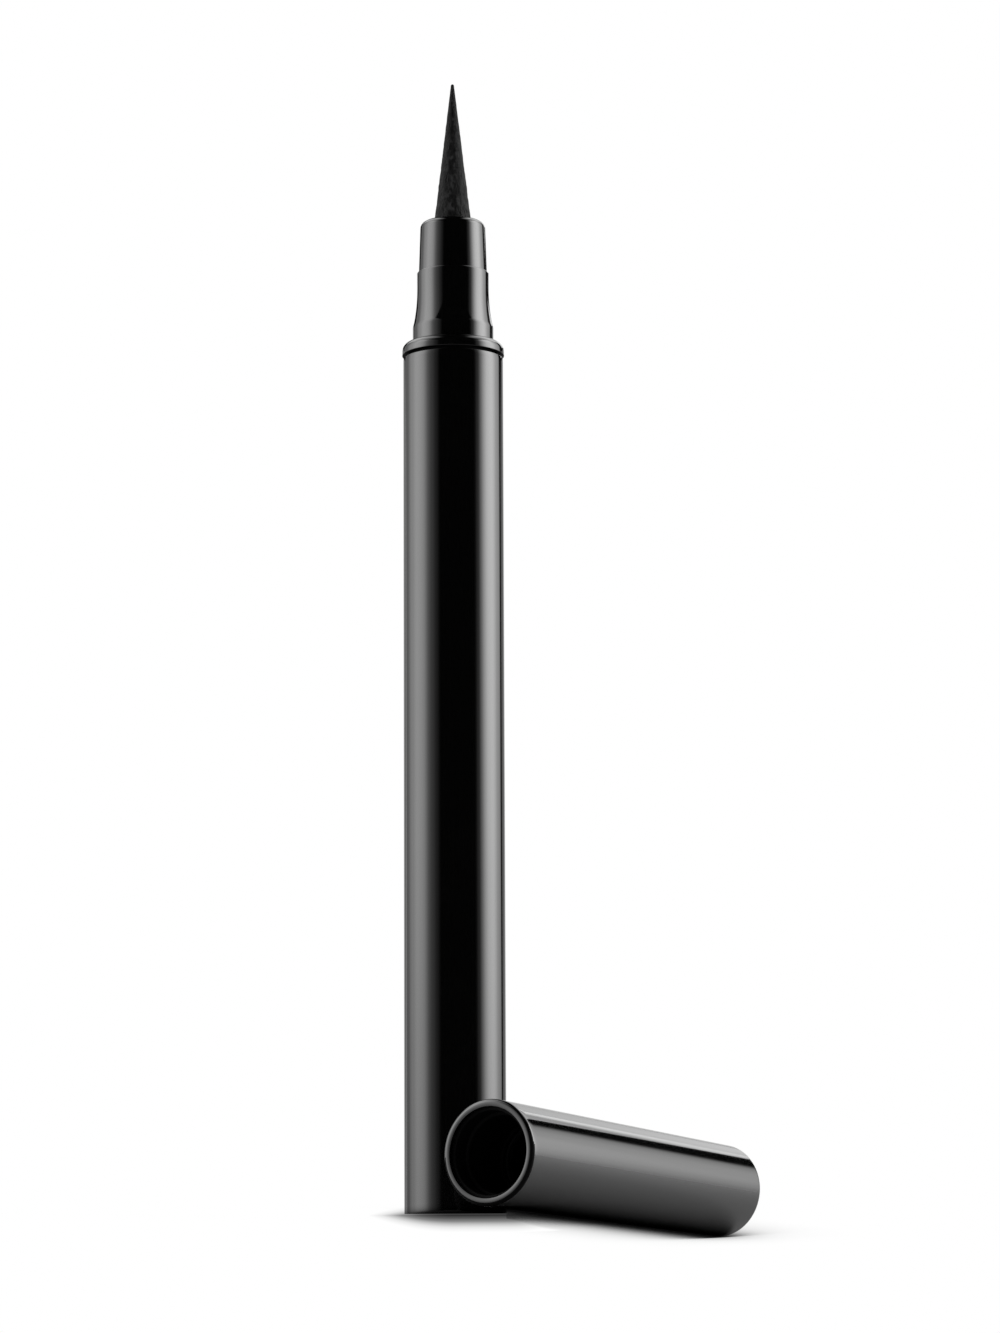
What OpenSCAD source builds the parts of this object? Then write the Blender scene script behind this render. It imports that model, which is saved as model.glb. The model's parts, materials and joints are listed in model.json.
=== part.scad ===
// Liquid eyeliner pen, standing on its flat base, with its cap off and lying beside it.
// Millimetres. Origin at the centre of the base, +Z up the pen, +Y along the lying cap.

/* [Barrel] */
// Outer diameter of the barrel
barrel_d = 10.5; // [9.8:0.1:12]
// Length of the barrel at full diameter, from the base to the seam
barrel_len = 90.4; // [84:0.2:110]
// Wall of the barrel
barrel_wall = 0.9; // [0.7:0.05:1]
// Rounding of the barrel's foot
foot_round = 0.3; // [0.1:0.05:0.5]
// Height of the dark groove between barrel and collar
seam_gap = 0.35; // [0.1:0.05:0.6]
// Depth of that groove
seam_depth = 0.55; // [0.1:0.05:0.6]

/* [Collar and nozzle] */
// Outer diameter of the collar
collar_d = 10.72; // [10.4:0.02:11.2]
// Height of the collar
collar_len = 1.35; // [1.2:0.05:2.4]
// Rounding of the collar's upper edge
collar_round = 0.9; // [0.6:0.05:1.1]
// Diameter of the lip that the cap grips
lip_d = 8.49; // [8.3:0.01:8.6]
// Height of the lip
lip_len = 1.65; // [0.9:0.05:1.8]
// Chamfer under the lip
lip_chamfer = 0.1; // [0.05:0.05:0.2]
// Diameter of the nozzle's neck
neck_d = 7.57; // [7.3:0.01:7.8]
// Height of the hollow flare between lip and neck
flare_len = 4.5; // [3:0.1:5.5]
// Height of the straight neck
neck_len = 1.5; // [1:0.1:3]
// Rounding of the neck's upper edge
neck_round = 0.17; // [0.05:0.01:0.2]
// Diameter of the stem that the collar sits on
stem_d = 7.8; // [7.6:0.05:8]
// Length of the skirt inside the barrel
skirt_len = 6.3; // [5.4:0.1:9]
// Bore of the skirt, which takes the collector's head
skirt_bore_d = 6.8; // [6.6:0.05:7]
// Length of the skirt's bore
skirt_bore_len = 4.9; // [4.4:0.1:5.6]
// Bore of the nozzle above it
nozzle_bore_d = 6.1; // [5.8:0.05:6.3]

/* [Tip holder and tip] */
// Diameter of the holder where it leaves the neck
holder_d = 7.2; // [6.9:0.02:7.4]
// Diameter of the holder below its rounded top
holder_top_d = 6.86; // [6.3:0.02:6.9]
// Height of the holder that shows
holder_len = 5.5; // [4.5:0.1:8]
// Rounding of the holder's top
holder_round = 0.7; // [0.4:0.05:1.1]
// Length of the holder's spigot inside the nozzle
spigot_len = 5.8; // [5:0.1:6.4]
// Diameter of the felt rod
tip_d = 3.9; // [3.2:0.02:4]
// Length of the felt cone above the holder
cone_len = 15.15; // [10:0.05:17]
// Radius of the cone's blunt point
point_r = 0.22; // [0.1:0.01:0.35]
// Outer diameter of the clip that grips the rod
clip_d = 5.2; // [4.8:0.05:5.4]
// Length of the clip
clip_len = 6; // [4:0.1:6.8]

/* [Inside the barrel] */
// Length of the tail plug
plug_len = 6.9; // [5:0.1:9]
// Floor of the tail plug
plug_floor = 1.4; // [0.8:0.1:2.2]
// Bore of the tail plug's hollow
plug_bore_d = 6; // [5:0.1:6.6]
// Depth of the seal grooves
seal_groove_depth = 0.45; // [0.3:0.05:0.6]
// Length of the ink tank
tank_len = 53.1; // [40:0.5:58]
// Wall of the ink tank
tank_wall = 0.5; // [0.35:0.05:0.7]
// Floor of the ink tank
tank_floor = 0.8; // [0.5:0.05:1.2]
// Diameter of the mixing ball
ball_d = 3.2; // [2.4:0.1:4.4]
// Depth of the stopper inside the tank's mouth
stopper_depth = 2.5; // [1.5:0.1:4]
// Thickness of the stopper's flange
stopper_flange = 1; // [0.6:0.1:1.6]
// Diameter of the fibre feed rod
core_d = 1.9; // [1.4:0.05:2.2]
// How far the feed rod reaches down into the tank, below the tank's mouth
core_reach = 7; // [5:0.5:14]
// Outer diameter of the collector's tube
collector_tube_d = 3.5; // [3:0.1:4]
// Outer diameter of the collector's tail, in the stopper
collector_tail_d = 4.4; // [3.8:0.1:5]
// Diameter of the collector's fins
fin_d = 8.2; // [7.4:0.1:8.3]
// Thickness of a fin
fin_t = 0.35; // [0.25:0.05:0.4]
// Spacing of the fins
fin_pitch = 0.8; // [0.7:0.05:1.2]
// Width of the slot cut down through the fins
fin_slot_w = 0.5; // [0.3:0.05:0.8]

/* [Cap] */
// Outer diameter of the cap at its mouth
cap_mouth_d = 10.8; // [10.6:0.05:11.6]
// Outer diameter of the cap at its closed end
cap_end_d = 9.76; // [9.6:0.02:10.6]
// Length of the cap
cap_len = 45; // [42:0.5:60]
// Rounding of the mouth's outer edge
cap_mouth_round = 0.4; // [0.2:0.05:0.65]
// Rounding of the closed end's edge
cap_end_round = 0.35; // [0.2:0.05:0.8]
// Thickness of the closed end
cap_end_wall = 1.45; // [0.8:0.05:2.2]
// Bore that takes the liner
liner_seat_d = 9.28; // [9.1:0.02:9.5]
// Depth of that bore
liner_seat_len = 12; // [8:0.1:14]
// Bore of the cap behind the liner
cap_bore_d = 8.4; // [8.2:0.05:8.5]
// How far the liner sits inside the mouth
liner_recess = 0.5; // [0.3:0.05:1]
// Length of the liner's land that grips the lip
land_len = 1.9; // [1.4:0.1:3]
// Outer diameter of the inner cap
cup_d = 7.92; // [7.8:0.02:8]
// Bore of the inner cap
cup_bore_d = 7.1; // [6.9:0.02:7.14]
// How far the inner cap's mouth stands in front of its flange
cup_front = 4; // [3:0.1:6]
// Length of the inner cap behind the flange's front face
cup_back = 19.2; // [17:0.1:24]
// Floor of the inner cap
cup_floor = 1.2; // [0.8:0.1:1.8]
// Thickness of the inner cap's flange
cup_flange = 1.8; // [1:0.1:3]
// Diameter of the boss that centres the spring
cup_boss_d = 4; // [3:0.1:4.4]
// Length of that boss
cup_boss_len = 1.8; // [1:0.1:3]
// Depth of the inner cap's seal groove
cup_seal_depth = 0.2; // [0.15:0.01:0.22]
// Length of the inner cap's seal
cup_seal_len = 1.2; // [0.8:0.1:2]
// How far the seal stands inside the cup's bore
cup_seal_lip = 0.08; // [0.05:0.01:0.15]
// Mean diameter of the cap spring
spring_mean_d = 5.5; // [5.2:0.1:6.4]
// Diameter of the spring's wire
wire_d = 0.5; // [0.3:0.05:0.6]
// Turns of the cap spring
spring_turns = 8; // [6:1:9]

/* [Where the cap lies] */
// Least gap between the cap and the barrel
cap_gap = 0.1; // [0.05:0.05:1]
// How far the cap's mouth lies in front of the pen's axis
cap_front = 10.16; // [6:0.1:16]

/* [Hidden] */
$fn = 96;

// Clearances, overrun of the cuts and steps of the curves
press_fit = 0.02;
slide_fit = 0.05;
loose_fit = 0.1;
lip_fit = 0.025;
overrun = 1;
round_steps = 8;
flare_steps = 12;
flare_power = 2.4;
wire_sides = 6;
turn_rings = 8;

// Radii of the barrel and of what fills it
barrel_r = barrel_d / 2;
bore_r = barrel_r - barrel_wall;
bore_fit_r = bore_r - press_fit;
tank_r = bore_r - loose_fit;
tank_bore_r = tank_r - tank_wall;
skirt_bore_r = skirt_bore_d / 2;
nozzle_bore_r = nozzle_bore_d / 2;
stem_r = stem_d / 2;
core_r = core_d / 2;
core_bore_r = core_r + press_fit;
tip_r = tip_d / 2;
rod_bore_r = tip_r + press_fit;
clip_r = clip_d / 2;
tube_r = collector_tube_d / 2;
tail_r = collector_tail_d / 2;

// Heights, from the base up
barrel_top_z = barrel_len + seam_gap;
skirt_z = barrel_top_z - skirt_len;
lip_z = barrel_top_z + collar_len;
flare_z = lip_z + lip_len;
neck_z = flare_z + flare_len;
nozzle_top_z = neck_z + neck_len;
holder_top_z = nozzle_top_z + holder_len;
spigot_z = nozzle_top_z - spigot_len;
tip_top_z = holder_top_z + cone_len;
tank_z = plug_len;
tank_top_z = tank_z + tank_len;
stopper_top_z = tank_top_z + stopper_flange;
core_z = tank_top_z - core_reach;
head_z = skirt_z;
head_top_z = skirt_z + skirt_bore_len - press_fit;
pad_z = skirt_z + skirt_bore_len;
fins_z = stopper_top_z;
fins_space = head_z - fins_z;
fin_count = floor((fins_space - fin_pitch) / fin_pitch);
plug_seal_z = (plug_floor + plug_len) / 2;
skirt_seal_z = skirt_z + (skirt_len - seal_groove_depth) / 4;
head_seal_z = head_z + skirt_bore_len * 3 / 4;
clip_z = spigot_z + loose_fit;

// Depths into the cap, from its mouth
cap_mouth_r = cap_mouth_d / 2;
cap_end_r = cap_end_d / 2;
cap_bore_r = cap_bore_d / 2;
seat_r = liner_seat_d / 2;
land_r = lip_d / 2 + lip_fit;
cup_r = cup_d / 2;
cup_bore_r = cup_bore_d / 2;
cup_flange_s = liner_seat_len + press_fit;
cup_s = cup_flange_s - cup_front;
cup_end_s = cup_flange_s + cup_back;
cup_seal_s = cup_s + cup_seal_len / 2;
spring_s = cup_end_s + press_fit;
spring_end_s = cap_len - cap_end_wall - press_fit;
spring_pitch = (spring_end_s - spring_s - wire_d) / spring_turns;

// The tapered cap touches the ground along its whole side, so its axis dips by the taper
cap_dip = atan((cap_mouth_r - cap_end_r) / cap_len);
cap_x = barrel_r + cap_mouth_r + cap_gap;
cap_z = cap_mouth_r * cos(cap_dip);

// Points of an arc in a lathe outline
function arc(centre, r, from, to) = [
    for (i = [0:round_steps])
        let (a = from + (to - from) * i / round_steps)
            [centre[0] + r * cos(a), centre[1] + r * sin(a)]
];

// Height and radius along the hollow flare
function flare_points() = [
    for (i = [0:flare_steps])
        let (t = i / flare_steps)
            [neck_d / 2 + (lip_d - neck_d) / 2 * pow(1 - t, flare_power), flare_z + flare_len * t]
];

// A straight tube standing on z
module tube(r, bore, z, len) {
    translate([0, 0, z])
        difference() {
            cylinder(r = r, h = len);
            translate([0, 0, -overrun])
                cylinder(r = bore, h = len + 2 * overrun);
        }
}

// A ring of round section that fills the gap between two radii
function seal_section(inner, outer) = (outer - inner) / 2 - press_fit;
module seal_ring(inner, outer, z) {
    translate([0, 0, z])
        rotate_extrude()
            translate([(inner + outer) / 2, 0])
                circle(r = seal_section(inner, outer), $fn = 32);
}

// The groove that such a ring sits in, cut into a round piece
module seal_groove(inner, outer, z) {
    half = seal_section(inner, outer) + slide_fit;
    translate([0, 0, z - half])
        difference() {
            cylinder(r = outer + overrun, h = 2 * half);
            translate([0, 0, -overrun])
                cylinder(r = inner, h = 2 * half + 2 * overrun);
        }
}

// Puts a piece drawn along +Z, mouth at zero, where the cap lies
module lying() {
    translate([cap_x, -cap_front, cap_z])
        rotate([-90 - cap_dip, 0, 0])
            children();
}

// Barrel: tube with a rounded foot and a lower land at its top for the seam
module barrel() {
    color([0.07, 0.07, 0.075])
        difference() {
            rotate_extrude()
                polygon(concat(
                    [[0, 0]],
                    arc([barrel_r - foot_round, foot_round], foot_round, -90, 0),
                    [
                        [barrel_r, barrel_len],
                        [barrel_r - seam_depth, barrel_len],
                        [barrel_r - seam_depth, barrel_top_z],
                        [0, barrel_top_z]
                    ]
                ));
            translate([0, 0, -overrun])
                cylinder(r = bore_r, h = barrel_top_z + 2 * overrun);
        }
}

module tail_plug() {
    color([0.1, 0.1, 0.1])
        difference() {
            cylinder(r = bore_fit_r, h = plug_len);
            translate([0, 0, plug_floor])
                cylinder(d = plug_bore_d, h = plug_len);
            seal_groove(bore_fit_r - seal_groove_depth, bore_r, plug_seal_z);
        }
}

module tail_seal_ring() {
    color([0.25, 0.25, 0.27])
        seal_ring(bore_fit_r - seal_groove_depth, bore_r, plug_seal_z);
}

module ink_tank() {
    color([0.85, 0.87, 0.88, 0.6])
        translate([0, 0, tank_z])
            difference() {
                cylinder(r = tank_r, h = tank_len);
                translate([0, 0, tank_floor])
                    cylinder(r = tank_bore_r, h = tank_len);
            }
}

// Plug in the tank's mouth, bored for the collector's tail
module tank_stopper() {
    color([0.9, 0.9, 0.88])
        difference() {
            union() {
                translate([0, 0, tank_top_z - stopper_depth])
                    cylinder(r = tank_bore_r - press_fit, h = stopper_depth + stopper_flange);
                translate([0, 0, tank_top_z])
                    cylinder(r = tank_r, h = stopper_flange);
            }
            translate([0, 0, tank_top_z - stopper_depth - overrun])
                cylinder(r = tail_r + press_fit, h = stopper_depth + stopper_flange + 2 * overrun);
        }
}

module mixing_ball() {
    color([0.75, 0.76, 0.78])
        translate([0, 0, tank_z + tank_floor + press_fit + ball_d / 2])
            sphere(d = ball_d);
}

// Ink collector: a tube with thin fins, a tail in the stopper and a head in the nozzle
module collector() {
    color([0.93, 0.93, 0.92])
        difference() {
            union() {
                translate([0, 0, tank_top_z - stopper_depth])
                    cylinder(r = tail_r, h = stopper_depth + stopper_flange);
                translate([0, 0, fins_z - overrun])
                    cylinder(r = tube_r, h = fins_space + 2 * overrun);
                for (i = [0:fin_count - 1])
                    translate([0, 0, fins_z + fin_pitch * (i + 1)])
                        cylinder(d = fin_d, h = fin_t);
                translate([0, 0, head_z])
                    cylinder(r = skirt_bore_r - press_fit, h = head_top_z - head_z);
            }
            translate([0, 0, tank_top_z - stopper_depth - overrun])
                cylinder(r = core_bore_r, h = head_top_z - tank_top_z + stopper_depth + 2 * overrun);
            translate([-fin_slot_w / 2, tube_r, fins_z])
                cube([fin_slot_w, fin_d, fins_space - slide_fit]);
            seal_groove(skirt_bore_r - press_fit - seal_groove_depth, skirt_bore_r, head_seal_z);
        }
}

module collector_core() {
    color([0.82, 0.8, 0.74])
        translate([0, 0, core_z])
            cylinder(r = core_r, h = spigot_z - core_z);
}

module collector_seal_ring() {
    color([0.25, 0.25, 0.27])
        seal_ring(skirt_bore_r - press_fit - seal_groove_depth, skirt_bore_r, head_seal_z);
}

// Absorbent washer round the feed, between the collector's head and the holder's spigot
module overflow_pad() {
    color([0.8, 0.79, 0.75])
        tube(nozzle_bore_r - press_fit, core_bore_r, pad_z, spigot_z - pad_z);
}

// Nozzle: skirt in the barrel, stem in the collar, lip, hollow flare and neck
module nozzle() {
    color([0.08, 0.08, 0.085])
        difference() {
            rotate_extrude()
                polygon(concat(
                    [
                        [0, skirt_z],
                        [bore_fit_r, skirt_z],
                        [bore_fit_r, barrel_top_z],
                        [stem_r, barrel_top_z],
                        [stem_r, lip_z],
                        [lip_d / 2 - lip_chamfer, lip_z],
                        [lip_d / 2, lip_z + lip_chamfer]
                    ],
                    flare_points(),
                    arc([neck_d / 2 - neck_round, nozzle_top_z - neck_round], neck_round, 0, 90),
                    [[0, nozzle_top_z]]
                ));
            translate([0, 0, skirt_z - overrun])
                cylinder(r = nozzle_bore_r, h = nozzle_top_z - skirt_z + 2 * overrun);
            translate([0, 0, skirt_z - overrun])
                cylinder(r = skirt_bore_r, h = skirt_bore_len + overrun);
            seal_groove(bore_fit_r - seal_groove_depth, bore_r, skirt_seal_z);
        }
}

module nozzle_seal_ring() {
    color([0.25, 0.25, 0.27])
        seal_ring(bore_fit_r - seal_groove_depth, bore_r, skirt_seal_z);
}

// Collar: ring on the barrel's end, round the nozzle's stem and under its lip
module collar() {
    color([0.08, 0.08, 0.085])
        difference() {
            rotate_extrude()
                polygon(concat(
                    [
                        [0, barrel_top_z],
                        [collar_d / 2, barrel_top_z]
                    ],
                    arc([collar_d / 2 - collar_round, lip_z - collar_round], collar_round, 0, 90),
                    [[0, lip_z]]
                ));
            translate([0, 0, barrel_top_z - overrun])
                cylinder(r = stem_r + press_fit, h = collar_len + 2 * overrun);
        }
}

// Tip holder: spigot in the nozzle, tapered sleeve with a rounded top, bored for rod and clip
module tip_holder() {
    color([0.08, 0.08, 0.085])
        difference() {
            rotate_extrude()
                polygon(concat(
                    [
                        [0, spigot_z],
                        [nozzle_bore_r - press_fit, spigot_z],
                        [nozzle_bore_r - press_fit, nozzle_top_z],
                        [holder_d / 2, nozzle_top_z]
                    ],
                    arc([holder_top_d / 2 - holder_round, holder_top_z - holder_round], holder_round, 0, 90),
                    [[0, holder_top_z]]
                ));
            translate([0, 0, spigot_z - overrun])
                cylinder(r = rod_bore_r, h = holder_top_z - spigot_z + 2 * overrun);
            translate([0, 0, spigot_z - overrun])
                cylinder(r = clip_r + press_fit, h = clip_len + loose_fit + press_fit + overrun);
        }
}

module tip_clip() {
    color([0.88, 0.88, 0.86])
        tube(clip_r, rod_bore_r, clip_z, clip_len);
}

// Felt tip: a rod cut to a long cone with a blunt round point
module felt_tip() {
    color([0.09, 0.09, 0.09])
        rotate_extrude()
            polygon(concat(
                [
                    [0, spigot_z],
                    [tip_r, spigot_z],
                    [tip_r, holder_top_z]
                ],
                arc([0, tip_top_z - point_r], point_r, 0, 90)
            ));
}

// Cap shell: tapered, closed at one end, bored in two steps
module cap_shell() {
    color([0.07, 0.07, 0.075])
        lying()
            difference() {
                rotate_extrude()
                    polygon(concat(
                        [[0, 0]],
                        arc([cap_mouth_r - cap_mouth_round, cap_mouth_round], cap_mouth_round, -90, 0),
                        arc([cap_end_r - cap_end_round, cap_len - cap_end_round], cap_end_round, 0, 90),
                        [[0, cap_len]]
                    ));
                translate([0, 0, -overrun])
                    cylinder(r = seat_r, h = liner_seat_len + overrun);
                translate([0, 0, -overrun])
                    cylinder(r = cap_bore_r, h = cap_len - cap_end_wall + overrun);
            }
}

// Liner: the land in front grips the nozzle's lip, the rest guides the inner cap
module cap_liner() {
    color([0.06, 0.06, 0.06])
        lying()
            difference() {
                translate([0, 0, liner_recess])
                    cylinder(r = seat_r - press_fit, h = liner_seat_len - liner_recess);
                cylinder(r = land_r, h = liner_recess + land_len);
                cylinder(r = cup_r + slide_fit, h = liner_seat_len + overrun);
            }
}

// Inner cap: cup that closes over the tip holder, with a flange behind the liner
module inner_cap() {
    color([0.12, 0.12, 0.12])
        lying()
            difference() {
                union() {
                    translate([0, 0, cup_s])
                        cylinder(r = cup_r, h = cup_end_s - cup_s);
                    translate([0, 0, cup_flange_s])
                        cylinder(r = cap_bore_r - slide_fit, h = cup_flange);
                    translate([0, 0, cup_end_s])
                        cylinder(d = cup_boss_d, h = cup_boss_len);
                }
                translate([0, 0, cup_s - overrun])
                    cylinder(r = cup_bore_r, h = cup_end_s - cup_floor - cup_s + overrun);
                translate([0, 0, cup_seal_s])
                    cylinder(r = cup_bore_r + cup_seal_depth, h = cup_seal_len);
            }
}

module inner_cap_seal() {
    color([0.3, 0.3, 0.32])
        lying()
            tube(
                cup_bore_r + cup_seal_depth - press_fit,
                cup_bore_r - cup_seal_lip,
                cup_seal_s + press_fit,
                cup_seal_len - 2 * press_fit
            );
}

// Centre line of the spring and the rings of its wire
function spring_point(k) =
    let (a = 360 * k / turn_rings)
        [
            spring_mean_d / 2 * cos(a),
            spring_mean_d / 2 * sin(a),
            spring_s + wire_d / 2 + spring_pitch * k / turn_rings
        ];
spring_rings = spring_turns * turn_rings;
spring_points = [
    for (k = [0:spring_rings])
        for (j = [0:wire_sides - 1])
            let (c = spring_point(k), a = 360 * k / turn_rings, b = 360 * j / wire_sides)
                [
                    c[0] + wire_d / 2 * cos(b) * cos(a),
                    c[1] + wire_d / 2 * cos(b) * sin(a),
                    c[2] + wire_d / 2 * sin(b)
                ]
];
spring_faces = concat(
    [
        for (k = [0:spring_rings - 1])
            for (j = [0:wire_sides - 1])
                let (p = k * wire_sides, n = (j + 1) % wire_sides)
                    [p + j, p + wire_sides + n, p + n]
    ],
    [
        for (k = [0:spring_rings - 1])
            for (j = [0:wire_sides - 1])
                let (p = k * wire_sides, n = (j + 1) % wire_sides)
                    [p + j, p + wire_sides + j, p + wire_sides + n]
    ],
    [
        for (j = [1:wire_sides - 2])
            [0, j, j + 1]
    ],
    [
        for (j = [1:wire_sides - 2])
            let (p = spring_rings * wire_sides)
                [p, p + j + 1, p + j]
    ]
);

// Least gap between neighbouring turns of the spring, measured on its centre line
spring_gaps = [
    for (k = [0:spring_rings - turn_rings])
        norm(spring_point(k + turn_rings) - spring_point(k)) - wire_d
];
echo(least_gap_between_turns = min(spring_gaps));

module cap_spring() {
    color([0.78, 0.79, 0.8])
        lying()
            polyhedron(points = spring_points, faces = spring_faces);
}

barrel();
tail_plug();
tail_seal_ring();
ink_tank();
tank_stopper();
mixing_ball();
collector();
collector_core();
collector_seal_ring();
overflow_pad();
nozzle();
nozzle_seal_ring();
collar();
tip_holder();
tip_clip();
felt_tip();
cap_shell();
cap_liner();
cap_spring();
inner_cap();
inner_cap_seal();
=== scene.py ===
import json
import math

import bpy
from mathutils import Euler, Matrix, Vector


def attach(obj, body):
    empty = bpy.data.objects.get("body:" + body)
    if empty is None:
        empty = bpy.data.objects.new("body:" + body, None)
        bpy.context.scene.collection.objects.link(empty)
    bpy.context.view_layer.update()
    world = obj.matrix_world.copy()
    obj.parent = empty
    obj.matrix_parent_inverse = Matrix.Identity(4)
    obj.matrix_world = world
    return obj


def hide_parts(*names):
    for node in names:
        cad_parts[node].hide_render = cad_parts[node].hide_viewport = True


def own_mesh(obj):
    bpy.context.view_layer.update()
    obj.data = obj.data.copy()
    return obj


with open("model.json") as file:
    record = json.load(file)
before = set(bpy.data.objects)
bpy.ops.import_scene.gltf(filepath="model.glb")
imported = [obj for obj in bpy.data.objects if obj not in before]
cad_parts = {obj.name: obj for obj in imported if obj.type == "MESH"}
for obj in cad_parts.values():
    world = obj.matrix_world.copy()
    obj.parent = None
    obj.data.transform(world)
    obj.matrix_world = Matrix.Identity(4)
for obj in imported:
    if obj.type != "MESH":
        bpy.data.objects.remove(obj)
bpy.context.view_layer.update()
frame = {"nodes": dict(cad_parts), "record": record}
bpy.ops.object.select_all(action="DESELECT")
print("frame: the packed pen is loaded")

mm = 0.001
black = (0, 0, 0, 1)
white = (1, 1, 1, 1)
scene = bpy.context.scene

# camera

cameraValues = {
    "place": (332.4, -493.7, -52.25),  # mm, lower than the table, as in the photo
    "azimuth": 33.49,
    "pitch": 10.45,
    "roll": -0.24,
    "lens": 156.8,
    "clip": (0.01, 20),  # metres
}


def addCamera(values):
    tilt = math.radians(90 + values["pitch"])
    turn = math.radians(values["azimuth"])
    place = [n * mm for n in values["place"]]
    aim = Euler((tilt, 0, turn)).to_matrix() @ Matrix.Rotation(math.radians(values["roll"]), 3, "Z")
    bpy.ops.object.camera_add(location=place, rotation=aim.to_euler())
    camera = bpy.context.object
    camera.name = "photoCamera"
    camera.data.lens = values["lens"]
    camera.data.clip_start, camera.data.clip_end = values["clip"]
    scene.camera = camera


addCamera(cameraValues)
scene.view_settings.view_transform = "Standard"
print("camera: set")

# node helpers


def emptyTree(owner):
    owner.use_nodes = True
    owner.node_tree.nodes.clear()
    return owner.node_tree


def setInputs(tree, node, inputs):
    # inputs: a socket, or a plain value, for each named or numbered input
    for key, value in dict(inputs).items():
        if isinstance(value, bpy.types.NodeSocket):
            tree.links.new(value, node.inputs[key])
        else:
            node.inputs[key].default_value = value


def addNode(tree, kind, inputs=(), **settings):
    node = tree.nodes.new(kind)
    for key, value in settings.items():
        setattr(node, key, value)
    setInputs(tree, node, inputs)
    return node


def calc(tree, operation, *values, clamp=False):
    inputs = dict(enumerate(values))
    return addNode(tree, "ShaderNodeMath", inputs, operation=operation, use_clamp=clamp).outputs[0]


def ramp(tree, source, stops, smooth="CARDINAL"):
    # a grey ramp: stops are (place, value)
    node = addNode(tree, "ShaderNodeValToRGB", {"Fac": source})
    greys = node.color_ramp
    greys.interpolation = smooth
    while len(greys.elements) < len(stops):
        greys.elements.new(0.5)
    for element, (place, value) in zip(greys.elements, stops):
        element.position = place
        element.color = (value, value, value, 1)
    return node.outputs["Color"]


def remap(tree, value, low, high, outLow=0.0, outHigh=1.0, kind="SMOOTHSTEP"):
    inputs = {"Value": value, "From Min": low, "From Max": high, "To Min": outLow, "To Max": outHigh}
    return addNode(tree, "ShaderNodeMapRange", inputs, interpolation_type=kind).outputs["Result"]


def blend(tree, share, low, high):
    return addNode(tree, "ShaderNodeMix", {0: share, 6: low, 7: high}, data_type="RGBA").outputs[2]


# lamps, world, floor and tent

boxUpward = [
    (0.0, 0.5), (0.06, 0.6), (0.1, 0.7), (0.13, 0.74), (0.17, 0.81), (0.22, 0.89), (0.38, 1.0),
    (1.0, 1.0),
]
crownUpward = [
    (0.0, 1.0), (0.5, 1.0), (0.62, 0.85), (0.72, 0.26), (0.8, 0.05), (0.88, 0.0), (1.0, 0.0),
]

# side: degrees to the right of the camera; out and up: where the middle is, in metres; lean: how many
# degrees the box looks down; across and upward: stops over the box, as (place, light)
lampValues = {
    "leftBox": {
        "side": -88, "out": 0.6, "up": 0.3, "lean": 0, "width": 1.9, "height": 0.6, "level": 5.4,
        "across": [
            (0.0, 0.1), (0.1, 0.1), (0.2, 0.13), (0.27, 0.22), (0.35, 0.47), (0.4, 0.62),
            (0.45, 0.88), (0.5, 1.0), (0.55, 0.98), (0.6, 0.78), (0.65, 0.42), (0.7, 0.22),
            (0.8, 0.09), (0.9, 0.03), (1.0, 0.0),
        ],
        "upward": boxUpward,
    },
    "rightBox": {
        "side": 93, "out": 0.6, "up": 0.3, "lean": 0, "width": 1.2, "height": 0.6, "level": 9.0,
        "across": [
            (0.0, 0.0), (0.1, 0.03), (0.2, 0.13), (0.3, 0.52), (0.4, 0.93), (0.5, 1.0), (0.6, 0.78),
            (0.68, 0.48), (0.75, 0.33), (0.82, 0.24), (0.88, 0.145), (0.93, 0.0), (1.0, 0.0),
        ],
        "upward": boxUpward,
    },
    "leftCrown": {
        "side": -88, "out": 0.4, "up": 0.81, "lean": 63.7, "width": 2.2, "height": 0.62, "level": 3.4,
        "across": [
            (0.0, 0.4), (0.12, 0.5), (0.3, 0.95), (0.45, 1.0), (0.58, 0.48), (0.68, 0.08), (0.74, 0.0),
            (1.0, 0.0),
        ],
        "upward": crownUpward,
    },
    "rightCrown": {
        "side": 93, "out": 0.4, "up": 0.81, "lean": 63.7, "width": 2.2, "height": 0.62, "level": 4.5,
        "across": [
            (0.0, 0.0), (0.34, 0.0), (0.44, 0.42), (0.55, 0.78), (0.66, 0.95), (0.88, 0.4), (1.0, 0.3),
        ],
        "upward": crownUpward,
    },
    "backStrip": {
        "side": 163, "out": 1.4, "up": 0.81, "lean": 0, "width": 0.8, "height": 0.6, "level": 2.3,
        "across": [(0.0, 0.58), (0.15, 0.7), (0.3, 0.92), (0.7, 0.5), (1.0, 0.3)],
        "upward": [(0.0, 1.0), (0.5, 0.88), (1.0, 0.64)],
    },
    "backSweep": {
        "side": 180, "out": 1.2, "up": 0.215, "lean": 0, "width": 2.0, "height": 0.43, "level": 0.84,
        "across": [(0.0, 0.55), (0.2, 0.5), (0.4, 1.0), (0.6, 1.0), (0.8, 0.5), (1.0, 0.55)],
        "upward": [(0.0, 1.0), (1.0, 1.0)],
    },
}

worldValues = {"background": 1.0, "fill": 1.0}  # fill: for diffuse rays


def towards(side, elevation=0.0):
    # unit vector from the pen, with its side in degrees to the right of the camera
    turn = math.radians(cameraValues["azimuth"] + side)
    rise = math.radians(elevation)
    return Vector((math.sin(turn) * math.cos(rise), -math.cos(turn) * math.cos(rise), math.sin(rise)))


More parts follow.
